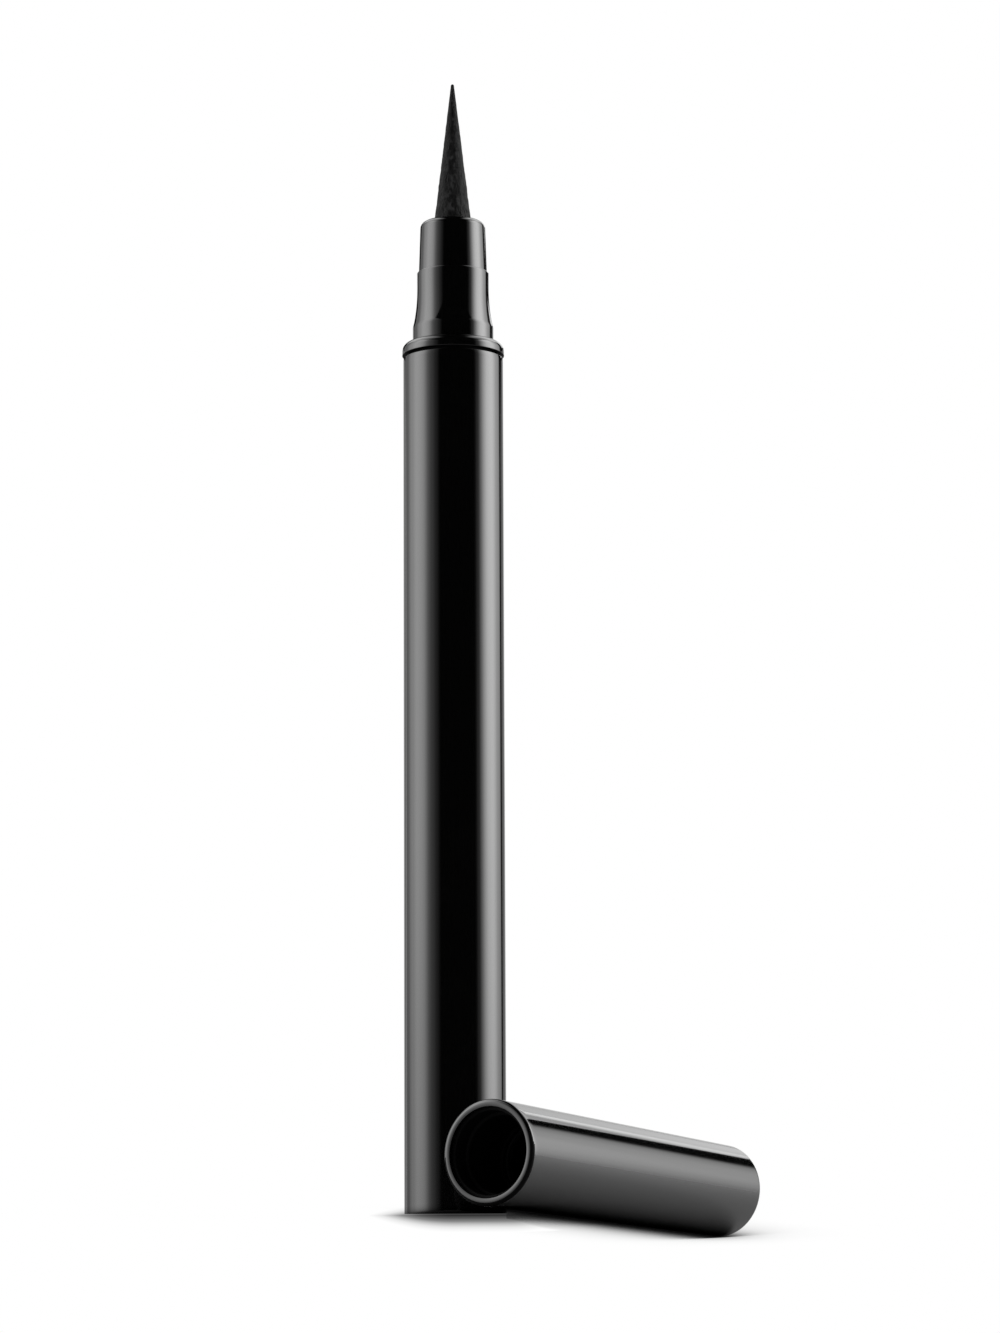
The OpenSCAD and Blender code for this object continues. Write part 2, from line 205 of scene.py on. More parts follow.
def addSoftbox(name, values):
    # soft boxes are there for the gloss, and the even world light does the rest
    place = towards(values["side"]) * values["out"] + Vector((0, 0, values["up"]))
    facing = (-towards(values["side"], values["lean"])).to_track_quat("-Z", "Y").to_euler()
    bpy.ops.object.light_add(type="AREA", location=place, rotation=facing)
    lamp = bpy.context.object
    lamp.name = name
    lamp.visible_camera = False
    lamp.visible_diffuse = False
    lamp.data.shape = "RECTANGLE"
    lamp.data.size = values["width"]
    lamp.data.size_y = values["height"]
    lamp.data.energy = values["level"] * math.pi * values["width"] * values["height"]
    tree = emptyTree(lamp.data)
    spot = addNode(tree, "ShaderNodeNewGeometry").outputs["Parametric"]
    part = addNode(tree, "ShaderNodeSeparateXYZ", {"Vector": spot})
    across = ramp(tree, part.outputs["X"], values["across"])
    upward = ramp(tree, part.outputs["Y"], values["upward"])
    strength = calc(tree, "MULTIPLY", across, upward)
    light = addNode(tree, "ShaderNodeEmission", {"Strength": strength})
    out = addNode(tree, "ShaderNodeOutputLight", {"Surface": light.outputs[0]})
    out.is_active_output = True


for lampName, values in lampValues.items():
    addSoftbox(lampName, values)


def whiteRays(tree):
    # one for camera, glossy and transmission rays, which see the white background
    path = addNode(tree, "ShaderNodeLightPath")
    seen = calc(tree, "ADD", path.outputs["Is Camera Ray"], path.outputs["Is Glossy Ray"])
    return calc(tree, "ADD", seen, path.outputs["Is Transmission Ray"], clamp=True)


def makeWorld(values):
    scene.world = bpy.data.worlds.new("whiteStudio")
    tree = emptyTree(scene.world)
    fill = addNode(tree, "ShaderNodeBackground", {"Color": white, "Strength": values["fill"]})
    back = addNode(tree, "ShaderNodeBackground", {"Color": white, "Strength": values["background"]})
    inputs = {0: whiteRays(tree), 1: fill.outputs[0], 2: back.outputs[0]}
    mix = addNode(tree, "ShaderNodeMixShader", inputs)
    addNode(tree, "ShaderNodeOutputWorld", {"Surface": mix.outputs[0]})


makeWorld(worldValues)

floorValues = {  # lengths in metres
    "size": 12.0,
    "drop": 0.0001,  # a hair under the pen, so that the two don't share one plane
    "colour": (0.9, 0.9, 0.9, 1),
    "whiteFrom": 0.12,
    "whiteTo": 0.9,
    "sheenRough": 0.32,
    "sheenIor": 1.45,
    "sheen": 0.5,
    "nearReach": 0.03,  # how far from a piece the painted shade on the table reaches, as the gloss shows it
    "nearLight": [(0.0, 0.3), (0.12, 0.5), (0.2, 0.68), (0.36, 0.86), (0.6, 0.93), (1.0, 1.0)],
    "nearSamples": 8,
    "shadowReach": 0.0115,
    "shadowSamples": 16,
    # footRadius to lightSpan: the painted shadow round and under the pen's foot, given by a formula
    "footRadius": 0.00522,
    "footFront": -0.007,
    "darkest": -0.0054,  # this and the two reaches run along the line from the front to the back
    "frontReach": 0.012,
    "backReach": 0.017,
    "capSide": 0.0055,
    "sideReach": 0.0082,
    "sidePower": 2.1,
    "ownFrom": 0.016,  # from here to ownTo the found shadow takes over from the foot's own
    "ownTo": 0.023,
    "capFrom": 0.001,  # the same, across towards the cap
    "capTo": 0.006,
    "light": [
        (0.0, 0.024), (0.17, 0.105), (0.34, 0.25), (0.5, 0.55), (0.67, 0.81), (0.84, 0.94), (0.96, 1.0),
    ],
    "lightSpan": 1.25,  # what the far end of light stands for, as a share of the reaches
}


def paintedFootShade(tree, place, values):
    # Three masks round the pen's foot: a painted shade, the light left in front of it, behind it and on the
    # side away from the cap; what its underside covers; and where this painted shade stands alone.
    back = addNode(tree, "ShaderNodeVectorMath", {0: place, 1: towards(180)}, operation="DOT_PRODUCT")
    side = addNode(tree, "ShaderNodeVectorMath", {0: place, 1: towards(90)}, operation="DOT_PRODUCT")
    depth, width = back.outputs["Value"], side.outputs["Value"]
    past = calc(tree, "SUBTRACT", depth, values["darkest"])
    behind = calc(tree, "DIVIDE", past, values["backReach"])
    along = calc(tree, "MAXIMUM", behind, calc(tree, "DIVIDE", past, -values["frontReach"]))
    leftwards = calc(tree, "MULTIPLY", width, -1.0)
    beside = calc(tree, "MAXIMUM", leftwards, calc(tree, "SUBTRACT", width, values["capSide"]))
    beside = calc(tree, "DIVIDE", calc(tree, "MAXIMUM", beside, 0.0), values["sideReach"])
    reach = calc(tree, "ADD", along, calc(tree, "POWER", beside, values["sidePower"]))
    left = ramp(tree, calc(tree, "DIVIDE", reach, values["lightSpan"]), values["light"], "LINEAR")
    away = addNode(tree, "ShaderNodeVectorMath", {0: place}, operation="LENGTH").outputs["Value"]
    inRound = calc(tree, "LESS_THAN", away, values["footRadius"])
    before = calc(tree, "LESS_THAN", depth, 0.0)
    inFront = calc(tree, "MULTIPLY", before, calc(tree, "GREATER_THAN", depth, values["footFront"]))
    inSide = calc(tree, "LESS_THAN", calc(tree, "ABSOLUTE", width), values["footRadius"])
    underFoot = calc(tree, "MAXIMUM", inRound, calc(tree, "MULTIPLY", inFront, inSide))
    across = addNode(tree, "ShaderNodeSeparateXYZ", {"Vector": place}).outputs["X"]
    own = calc(
        tree, "MULTIPLY", remap(tree, away, values["ownFrom"], values["ownTo"], 1.0, 0.0),
        remap(tree, across, values["capFrom"], values["capTo"], 1.0, 0.0),
    )
    return left, underFoot, own


def mirroredTableWithPaintedShade(tree, values):
    # the table as the gloss shows it, with painted shade: darker close to the pieces, from ambient
    # occlusion
    near = addNode(
        tree, "ShaderNodeAmbientOcclusion", {"Distance": values["nearReach"]},
        samples=values["nearSamples"],
    )
    paintedShade = ramp(tree, near.outputs["AO"], values["nearLight"], "LINEAR")
    return blend(tree, paintedShade, black, values["colour"])


def floorMaterial(values):
    # From above it is a pale diffuse table, going over to the white background far away. From below, where
    # the scene's camera is, it lets the camera through and keeps a soft contact shadow, painted as a tint
    # from ambient occlusion and, round the pen's foot, from a formula, where a painted shadow glows over
    # the foot's underside and hides it.
    material = bpy.data.materials.new("paleTable")
    tree = emptyTree(material)
    geometry = addNode(tree, "ShaderNodeNewGeometry")
    path = addNode(tree, "ShaderNodeLightPath")
    place = geometry.outputs["Position"]
    mirrored = path.outputs["Is Glossy Ray"]
    # the gloss sees the table with painted shade close to the pieces
    pale = blend(tree, mirrored, values["colour"], mirroredTableWithPaintedShade(tree, values))
    matt = addNode(tree, "ShaderNodeBsdfDiffuse", {"Color": pale})
    sheen = addNode(tree, "ShaderNodeBsdfGlossy", {"Roughness": values["sheenRough"]})
    grazing = addNode(tree, "ShaderNodeFresnel", {"IOR": values["sheenIor"]}).outputs[0]
    grazing = calc(tree, "MULTIPLY", grazing, calc(tree, "MULTIPLY", mirrored, values["sheen"]))
    table = addNode(tree, "ShaderNodeMixShader", {0: grazing, 1: matt.outputs[0], 2: sheen.outputs[0]})
    farWhite = addNode(tree, "ShaderNodeEmission", {"Strength": 1.0})
    flat = addNode(tree, "ShaderNodeVectorMath", {0: place}, operation="LENGTH")
    far = remap(tree, flat.outputs["Value"], values["whiteFrom"], values["whiteTo"])
    seen = calc(tree, "MULTIPLY", far, whiteRays(tree))
    top = addNode(tree, "ShaderNodeMixShader", {0: seen, 1: table.outputs[0], 2: farWhite.outputs[0]})
    straightUp = addNode(tree, "ShaderNodeCombineXYZ", {"Z": 1.0})
    shade = addNode(
        tree, "ShaderNodeAmbientOcclusion",
        {"Distance": values["shadowReach"], "Normal": straightUp.outputs[0]},
        samples=values["shadowSamples"],
    )
    # found: shade from ambient occlusion, painted as a tint on the see-through table
    found = remap(tree, shade.outputs["AO"], 0.0, 1.0)
    left, underFoot, own = paintedFootShade(tree, place, values)
    # the found shadow, with the painted shade round the foot laid over it
    clear = calc(tree, "MINIMUM", calc(tree, "MAXIMUM", found, own), left)
    tint = addNode(tree, "ShaderNodeCombineColor", {0: clear, 1: clear, 2: clear})
    through = addNode(tree, "ShaderNodeBsdfTransparent", {"Color": tint.outputs[0]})
    # painted shadow: a glow as grey as the painted shade, put where the foot's underside would show
    shadow = addNode(tree, "ShaderNodeEmission", {"Strength": left})
    inputs = {0: underFoot, 1: through.outputs[0], 2: shadow.outputs[0]}
    under = addNode(tree, "ShaderNodeMixShader", inputs)
    below = calc(tree, "MULTIPLY", geometry.outputs["Backfacing"], path.outputs["Is Camera Ray"])
    mix = addNode(tree, "ShaderNodeMixShader", {0: below, 1: top.outputs[0], 2: under.outputs[0]})
    addNode(tree, "ShaderNodeOutputMaterial", {"Surface": mix.outputs[0]})
    return material


def addFloor(values):
    bpy.ops.mesh.primitive_plane_add(size=values["size"], location=(0, 0, -values["drop"]))
    floor = bpy.context.object
    floor.name = "tableTop"
    floor.data.materials.append(floorMaterial(values))


addFloor(floorValues)

tentValues = {"radius": 1.7, "segments": 32, "rings": 16, "colour": (0.01, 0.01, 0.01, 1)}


def addTent(values):
    # black cloth round the set, as for photographs of gloss black: only reflections see it
    bpy.ops.mesh.primitive_uv_sphere_add(
        segments=values["segments"], ring_count=values["rings"], radius=values["radius"],
    )
    tent = bpy.context.object
    tent.name = "blackTent"
    for kind in ("camera", "diffuse", "transmission", "volume_scatter", "shadow"):
        setattr(tent, "visible_" + kind, False)
    material = bpy.data.materials.new("blackCloth")
    tree = emptyTree(material)
    cloth = addNode(tree, "ShaderNodeBsdfDiffuse", {"Color": values["colour"]})
    addNode(tree, "ShaderNodeOutputMaterial", {"Surface": cloth.outputs[0]})
    tent.data.materials.append(material)


addTent(tentValues)
print("studio: lamps, world, table and tent are set")

# modelling helpers

meshValues = {
    "ringSlack": 0.004,  # mm, how far off a ring its vertices may be
    "seamSlack": 0.01,  # mm
    "merge": 0.001,  # mm
    "smoothAngle": 32,
}


def pickPiece(piece):
    # the operators after this act on the piece alone
    bpy.ops.object.select_all(action="DESELECT")
    piece.select_set(True)
    bpy.context.view_layer.objects.active = piece


def editRings(piece, places):
    # to edit mode with the edges selected that lie on rings, given as (radius, height) in mm
    bpy.ops.object.mode_set(mode="OBJECT")
    bpy.context.tool_settings.mesh_select_mode = (False, True, False)
    mesh = piece.data
    mesh.vertices.foreach_set("select", [False] * len(mesh.vertices))
    mesh.polygons.foreach_set("select", [False] * len(mesh.polygons))

    def onRing(vertex, ring):
        radius = math.hypot(vertex.co.x, vertex.co.y) / mm
        gaps = (abs(radius - ring[0]), abs(vertex.co.z / mm - ring[1]))
        return max(gaps) < meshValues["ringSlack"]

    for edge in mesh.edges:
        ends = [mesh.vertices[i] for i in edge.vertices]
        edge.select = any(all(onRing(end, ring) for end in ends) for ring in places)
    bpy.ops.object.mode_set(mode="EDIT")


def turnPiece(name, outline, sides=96, hollow=True):
    # outline: (height, radius) in mm. The first ring is drawn out ring by ring. A hollow piece is closed
    # by a bridge from its last ring to its first, and any other by the faces at its two poles.
    bpy.ops.object.select_all(action="DESELECT")
    height, radius = outline[0]
    bpy.ops.mesh.primitive_circle_add(
        vertices=sides, radius=radius * mm, location=(0, 0, height * mm),
        fill_type="NOTHING" if hollow else "NGON",
    )
    piece = bpy.context.object
    piece.name = piece.data.name = name
    bpy.ops.object.transform_apply(location=True)
    bpy.ops.object.mode_set(mode="EDIT")
    bpy.ops.mesh.select_mode(type="EDGE")
    bpy.ops.mesh.select_all(action="SELECT")
    for nextHeight, nextRadius in outline[1:]:
        grow = nextRadius / radius
        bpy.ops.mesh.extrude_region_move(
            TRANSFORM_OT_translate={"value": (0, 0, (nextHeight - height) * mm)},
        )
        bpy.ops.transform.resize(value=(grow, grow, 1), center_override=(0, 0, nextHeight * mm))
        height, radius = nextHeight, nextRadius
    if hollow:
        bpy.ops.object.mode_set(mode="OBJECT")
        editRings(piece, [(outline[0][1], outline[0][0]), (outline[-1][1], outline[-1][0])])
        bpy.ops.mesh.bridge_edge_loops()
    bpy.ops.mesh.select_all(action="SELECT")
    bpy.ops.mesh.remove_doubles(threshold=meshValues["merge"] * mm)
    bpy.ops.mesh.normals_make_consistent(inside=False)
    bpy.ops.object.mode_set(mode="OBJECT")
    return piece


def roundRings(piece, rings, width, segments=4):
    # bevels whole rings, given as (radius, height)
    editRings(piece, rings)
    bpy.ops.mesh.bevel(
        offset=width * mm, offset_type="OFFSET", segments=segments, profile=0.5, affect="EDGES",
    )
    bpy.ops.object.mode_set(mode="OBJECT")


def smoothPiece(piece, angle=meshValues["smoothAngle"]):
    pickPiece(piece)
    bpy.ops.object.shade_smooth_by_angle(angle=math.radians(angle))


# where the middle of the cap's mouth lies, and how far its axis falls towards the closed end
layValues = {"x": 10.75, "y": -10.16, "z": 5.39964, "dip": 0.66208}
capDip = math.radians(layValues["dip"])
capAxis = (0, math.cos(capDip), -math.sin(capDip))


def layDown(piece):
    # from upright, mouth at zero, to where the cap lies
    pickPiece(piece)
    piece.location = [layValues[axis] * mm for axis in "xyz"]
    piece.rotation_euler = (-math.radians(90 + layValues["dip"]), 0, 0)
    bpy.ops.object.transform_apply(location=True, rotation=True, scale=True)


def fromMouth(depth):
    # a point on the lying cap's axis, in metres from a depth in mm
    return tuple((layValues[axis] + depth * part) * mm for axis, part in zip("xyz", capAxis))


def finishPiece(piece, body, node, slot):
    piece.data.materials.clear()
    piece.data.materials.append(slotMaterials[slot])
    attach(piece, body)
    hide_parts(node)


def paintedShadeMattFaces(piece, test):
    # the faces that pass the test get the matt finish, a painted shade that keeps them dark in the gloss
    piece.data.materials.append(slotMaterials["plug"])
    for face in piece.data.polygons:
        face.material_index = int(test(face))


def paintedShadeMattSeam(piece, low, high):
    # the walls of a seam, between two heights in mm, made matt: painted shade between the parts
    slack = meshValues["seamSlack"]

    def inSeam(face):
        heights = [piece.data.vertices[i].co.z / mm for i in face.vertices]
        return min(heights) > low - slack and max(heights) < high + slack

    paintedShadeMattFaces(piece, inSeam)


def paintedShadeMattRim(piece, v):
    # the lower half of the lying cap's rounded rim, turned a little up on the side away from the pen, made
    # matt: painted shade on its lower side
    turn = math.radians(v["mattTurn"])
    high = Vector((-math.sin(turn), 0, math.cos(turn)))

    def inRim(face):
        offset = (face.center - Vector(fromMouth(0))) / mm
        depth = offset.dot(Vector(capAxis))
        out = offset - depth * Vector(capAxis)
        rise = out.normalized().dot(high) + v["mattTaper"] * depth / v["mouthRound"]
        return depth < v["mouthRound"] and out.length > v["mattFrom"] and rise < v["mattBelow"]

    paintedShadeMattFaces(piece, inRim)


# materials


def newMaterial(name):
    material = bpy.data.materials.new(name)
    tree = emptyTree(material)
    surface = addNode(tree, "ShaderNodeBsdfPrincipled")
    addNode(tree, "ShaderNodeOutputMaterial", {"Surface": surface.outputs[0]})
    place = addNode(tree, "ShaderNodeTexCoord").outputs["Object"]
    return material, tree, surface, place


def newGroup(name, inputs, outputs):
    # inputs: name to default, where a triple makes a vector socket; outputs: names of plain values
    group = bpy.data.node_groups.new(name, "ShaderNodeTree")
    for label, default in inputs.items():
        kind = "NodeSocketVector" if isinstance(default, tuple) else "NodeSocketFloat"
        group.interface.new_socket(name=label, in_out="INPUT", socket_type=kind).default_value = default
    for label in outputs:
        group.interface.new_socket(name=label, in_out="OUTPUT", socket_type="NodeSocketFloat")
    entry = addNode(group, "NodeGroupInput").outputs
    return group, entry, addNode(group, "NodeGroupOutput").inputs


def useGroup(tree, group, inputs):
    return addNode(tree, "ShaderNodeGroup", inputs, node_tree=group).outputs


def noise(tree, place, scale, detail=3.0, rough=0.5):
    inputs = {"Vector": place, "Scale": scale, "Detail": detail, "Roughness": rough}
    return addNode(tree, "ShaderNodeTexNoise", inputs).outputs[0]


def weighed(tree, first, firstShare, second, secondShare):
    return calc(
        tree, "ADD", calc(tree, "MULTIPLY", first, firstShare), calc(tree, "MULTIPLY", second, secondShare),
    )


def bumped(tree, height, strength, distance):
    inputs = {"Strength": strength, "Distance": distance, "Height": height}
    return addNode(tree, "ShaderNodeBump", inputs).outputs[0]


skinValues = {  # slow: the drift's scale as a share of the grain's
    "slow": 0.05, "fineShare": 0.4, "slowShare": 0.6, "from": 0.3, "to": 0.7, "depth": 0.00003,
}
hazeValues = {"warp": 6.0, "warpShare": 0.3, "from": 0.6, "to": 0.85, "rougher": 0.2}
grainValues = {"threads": 3.5, "broadShare": 0.7, "threadShare": 0.3}


def makeMouldedSkin(v):
    # the skin of a moulded part: a fine grain, and a slow drift between two roughnesses
    group, entry, out = newGroup(
        "mouldedSkin", {"Place": (0.0, 0.0, 0.0), "Grain": 4000.0, "Rough Low": 0.1, "Rough High": 0.2},
        ["Roughness", "Height"],
    )
    fine = noise(group, entry["Place"], entry["Grain"])
    slow = noise(group, entry["Place"], calc(group, "MULTIPLY", entry["Grain"], v["slow"]), detail=2.0)
    share = weighed(group, fine, v["fineShare"], slow, v["slowShare"])
    rough = remap(group, share, v["from"], v["to"], entry["Rough Low"], entry["Rough High"], "LINEAR")
    group.links.new(rough, out["Roughness"])
    group.links.new(fine, out["Height"])
    return group


def makeHandlingHaze(v):
    # faint cloudy patches that fingers leave: a mask from nought to Amount
    group, entry, out = newGroup(
        "handlingHaze", {"Place": (0.0, 0.0, 0.0), "Patch": 120.0, "Amount": 0.1}, ["Mask"],
    )
    warpScale = calc(group, "MULTIPLY", entry["Patch"], v["warp"])
    warp = noise(group, entry["Place"], warpScale, detail=4.0, rough=0.6)
    patch = noise(group, entry["Place"], entry["Patch"], detail=2.0)
    both = calc(group, "ADD", patch, calc(group, "MULTIPLY", warp, v["warpShare"]))
    mask = calc(group, "MULTIPLY", remap(group, both, v["from"], v["to"]), entry["Amount"])
    group.links.new(mask, out["Mask"])
    return group


def makeFibreGrain(v):
    # bonded fibres: blotches drawn out along one axis, with finer threads on them
    group, entry, out = newGroup(
        "fibreGrain",
        {"Place": (0.0, 0.0, 0.0), "Stretch": (1.0, 1.0, 0.6), "Blotch": 2000.0, "From": 0.38, "To": 0.66},
        ["Blotch", "Height"],
    )
    drawn = addNode(
        group, "ShaderNodeVectorMath", {0: entry["Place"], 1: entry["Stretch"]}, operation="MULTIPLY",
    ).outputs[0]
    broad = noise(group, drawn, entry["Blotch"], rough=0.55)
    threads = noise(group, drawn, calc(group, "MULTIPLY", entry["Blotch"], v["threads"]), rough=0.6)
    group.links.new(remap(group, broad, entry["From"], entry["To"]), out["Blotch"])
    height = weighed(group, broad, v["broadShare"], threads, v["threadShare"])
    group.links.new(height, out["Height"])
    return group


skinGroup = makeMouldedSkin(skinValues)
hazeGroup = makeHandlingHaze(hazeValues)
fibreGroup = makeFibreGrain(grainValues)

mouldedValues = {
    "barrelGloss": {
        "colour": (0.0005, 0.0005, 0.0005, 1), "worn": (0.001, 0.001, 0.001, 1), "rough": (0.07, 0.085),
        "grain": 3000.0, "patch": 150.0, "haze": 0.35, "bump": 0.02, "specular": 0.5,
    },
    "nozzleGloss": {
        "colour": (0.0005, 0.0005, 0.0005, 1), "worn": (0.001, 0.001, 0.001, 1), "rough": (0.075, 0.095),
        "grain": 5000.0, "patch": 400.0, "haze": 0.3, "bump": 0.02, "specular": 0.5,
    },
    "plugMatt": {
        "colour": (0.0008, 0.0008, 0.0008, 1), "worn": (0.0015, 0.0015, 0.0015, 1), "rough": (0.55, 0.68),
        "grain": 9000.0, "patch": 500.0, "haze": 0.5, "bump": 0.25, "specular": 0.04,
    },
    "sealRubber": {
        "colour": (0.0015, 0.0015, 0.0016, 1), "worn": (0.004, 0.004, 0.004, 1), "rough": (0.7, 0.85),
        "grain": 12000.0, "patch": 900.0, "haze": 0.8, "bump": 0.3, "specular": 0.2,
    },
    "naturalPlastic": {
        "colour": (0.82, 0.82, 0.79, 1), "worn": (0.7, 0.71, 0.7, 1), "rough": (0.35, 0.5),
        "grain": 7000.0, "patch": 300.0, "haze": 0.7, "bump": 0.15, "specular": 0.5,
    },
}


def skinAndHaze(tree, place, v):
    low, high = v["rough"]
    inputs = {"Place": place, "Grain": v["grain"], "Rough Low": low, "Rough High": high}
    skin = useGroup(tree, skinGroup, inputs)
    mask = useGroup(tree, hazeGroup, {"Place": place, "Patch": v["patch"], "Amount": v["haze"]})["Mask"]
    return skin, mask


def mouldedPlastic(name):
    v = mouldedValues[name]
    material, tree, surface, place = newMaterial(name)
    skin, mask = skinAndHaze(tree, place, v)
    rougher = calc(tree, "MULTIPLY", mask, v["rough"][0] * hazeValues["rougher"])
    setInputs(tree, surface, {
        "Base Color": blend(tree, mask, v["colour"], v["worn"]),
        "Roughness": calc(tree, "ADD", skin["Roughness"], rougher),
        "Normal": bumped(tree, skin["Height"], v["bump"], skinValues["depth"]),
        "Specular IOR Level": v["specular"],
    })
    return material


fibreValues = {
    "feltBlack": {
        "dark": (0.0003, 0.0003, 0.0003, 1), "pale": (0.0188, 0.0188, 0.0192, 1), "rough": (0.6, 0.95),
        "blotch": 2100.0, "stretch": (1.0, 1.0, 0.55), "patch": (0.515, 0.645),
        "bump": 1.0, "depth": 0.0003, "specular": 0.1,
    },
    "fibreBundle": {
        "dark": (0.42, 0.4, 0.35, 1), "pale": (0.66, 0.64, 0.58, 1), "rough": (0.8, 0.95),
        "blotch": 3000.0, "stretch": (1.0, 1.0, 0.15), "patch": (0.38, 0.66),
        "bump": 0.8, "depth": 0.00008, "specular": 0.3,
    },
}

# base and point: heights in metres, the darkest and where the darkening ends; the other two: how pale
# the darkest stays; at the base it is painted shade
feltDarkeningValues = {"base": (0.10532, 0.1064), "point": (0.1202, 0.1185), "paintedBaseShade": 0.12, "pointDarkening": 0.45}


def feltShadeAndDarkPoint(tree, place, v):
    # painted shade darkens the felt where it leaves the holder, and the felt is darker towards its point
    height = addNode(tree, "ShaderNodeSeparateXYZ", {"Vector": place}).outputs["Z"]
    low = remap(tree, height, *v["base"], v["paintedBaseShade"], 1.0)
    pointDarkest, pointPlain = v["point"]
    high = remap(tree, calc(tree, "MULTIPLY", height, -1.0), -pointDarkest, -pointPlain, v["pointDarkening"], 1.0)
    return calc(tree, "MULTIPLY", low, high)


def bondedFibre(name, darkening=None):
    v = fibreValues[name]
    material, tree, surface, place = newMaterial(name)
    low, high = v["patch"]
    inputs = {"Place": place, "Stretch": v["stretch"], "Blotch": v["blotch"], "From": low, "To": high}
    grain = useGroup(tree, fibreGroup, inputs)
    share = grain["Blotch"]
    if darkening:
        share = calc(tree, "MULTIPLY", share, feltShadeAndDarkPoint(tree, place, darkening))
    setInputs(tree, surface, {
        "Base Color": blend(tree, share, v["dark"], v["pale"]),
        "Roughness": remap(tree, share, 0.0, 1.0, *v["rough"], "LINEAR"),
        "Normal": bumped(tree, grain["Height"], v["bump"], v["depth"]),
        "Specular IOR Level": v["specular"],
    })
    return material


steelValues = {
    "ballSteel": {
        "colour": (0.7, 0.71, 0.73, 1), "dull": (0.55, 0.56, 0.58, 1), "rough": (0.1, 0.2),
        "stretch": (1.0, 1.0, 1.0), "marks": 4000.0, "bump": 0.05, "depth": 0.00002,
    },
    "springSteel": {
        "colour": (0.62, 0.63, 0.65, 1), "dull": (0.42, 0.43, 0.45, 1), "rough": (0.25, 0.42),
        "stretch": (0.3, 6.0, 0.3), "marks": 2500.0, "bump": 0.15, "depth": 0.00002,
    },
}


def steel(name):
    v = steelValues[name]
    material, tree, surface, place = newMaterial(name)
    marks = useGroup(tree, fibreGroup, {"Place": place, "Stretch": v["stretch"], "Blotch": v["marks"]})
    setInputs(tree, surface, {
        "Base Color": blend(tree, marks["Blotch"], v["colour"], v["dull"]),
        "Roughness": remap(tree, marks["Blotch"], 0.0, 1.0, *v["rough"], "LINEAR"),
        "Normal": bumped(tree, marks["Height"], v["bump"], v["depth"]),
        "Metallic": 1.0,
    })
    return material


tankValues = {
    "colour": (0.78, 0.8, 0.81, 1), "inked": (0.3, 0.3, 0.32, 1), "rough": (0.18, 0.3),
    "grain": 3000.0, "patch": 160.0, "haze": 1.0, "through": 0.7, "ior": 1.49,
}


def tankPlastic(v):
    # thin milky wall with a film of ink inside
    material, tree, surface, place = newMaterial("tankClear")
    skin, mask = skinAndHaze(tree, place, v)
    setInputs(tree, surface, {
        "Base Color": blend(tree, mask, v["colour"], v["inked"]),
        "Roughness": skin["Roughness"],
        "Transmission Weight": v["through"],
        "IOR": v["ior"],
    })
    return material


slotMaterials = {  # the record's finishes
    "barrel": mouldedPlastic("barrelGloss"),
    "nozzle": mouldedPlastic("nozzleGloss"),
    "plug": mouldedPlastic("plugMatt"),
    "seal": mouldedPlastic("sealRubber"),
    "natural_plastic": mouldedPlastic("naturalPlastic"),
    "tank": tankPlastic(tankValues),
    "felt": bondedFibre("feltBlack", feltDarkeningValues),
    "fibre": bondedFibre("fibreBundle"),
    "ball_steel": steel("ballSteel"),
    "spring_steel": steel("springSteel"),
}
print("materials: made")

# barrel

barrelValues = {
    "radius": 5.25, "length": 90.4, "landRadius": 4.7, "top": 90.75, "bore": 4.35,
    "footRound": 0.3, "edgeRound": 0.06,
    "guard": 0.5,  # rings this far from the rounded edges keep the long wall straight in the gloss
}


def makeBarrel(v):
    piece = turnPiece("barrelTube", [
        (0, v["bore"]), (0, v["radius"]), (v["guard"], v["radius"]),
        (v["length"] - v["guard"], v["radius"]),
        (v["length"], v["radius"]), (v["length"], v["landRadius"]),
        (v["top"], v["landRadius"]), (v["top"], v["bore"]),
    ], sides=128)
    roundRings(piece, [(v["radius"], 0)], v["footRound"])
    roundRings(piece, [(v["radius"], v["length"])], v["edgeRound"], segments=3)
    smoothPiece(piece)
    return piece


barrel = makeBarrel(barrelValues)
finishPiece(barrel, "pen", "barrel", "barrel")
paintedShadeMattSeam(barrel, barrelValues["length"], barrelValues["top"])
print("barrel: made")

# collar

collarValues = {
    "radius": 5.36, "low": 90.75, "high": 92.1, "bore": 3.92, "shoulder": 0.9, "footRound": 0.02,
    "guard": 0.15,
}


def makeCollar(v):
    piece = turnPiece("collarRing", [
        (v["low"], v["bore"]), (v["low"], v["radius"]), (v["low"] + v["guard"], v["radius"]),
        (v["high"], v["radius"]), (v["high"], v["bore"]),
    ], sides=128)
    roundRings(piece, [(v["radius"], v["high"])], v["shoulder"], segments=12)
    roundRings(piece, [(v["radius"], v["low"])], v["footRound"], segments=3)
    smoothPiece(piece)
    return piece


collar = makeCollar(collarValues)
finishPiece(collar, "pen", "collar", "nozzle")
paintedShadeMattSeam(collar, collarValues["low"], collarValues["low"])

# nozzle

nozzleValues = {
    "skirtLow": 84.45, "skirtRadius": 4.33, "stemLow": 90.75, "stemRadius": 3.9, "lipLow": 92.1,
    "lipHigh": 93.75, "lipRadius": 4.245, "chamfer": 0.1, "neckLow": 98.25, "neckRadius": 3.785,
    "flarePower": 2.4, "flareSteps": 20, "top": 99.75, "topRound": 0.17, "bore": 3.05,
    "skirtBore": 3.4, "skirtBoreTop": 89.35, "grooveRadius": 3.88, "grooveMiddle": 85.9125,
    "grooveHalf": 0.265, "guard": 0.12,
}


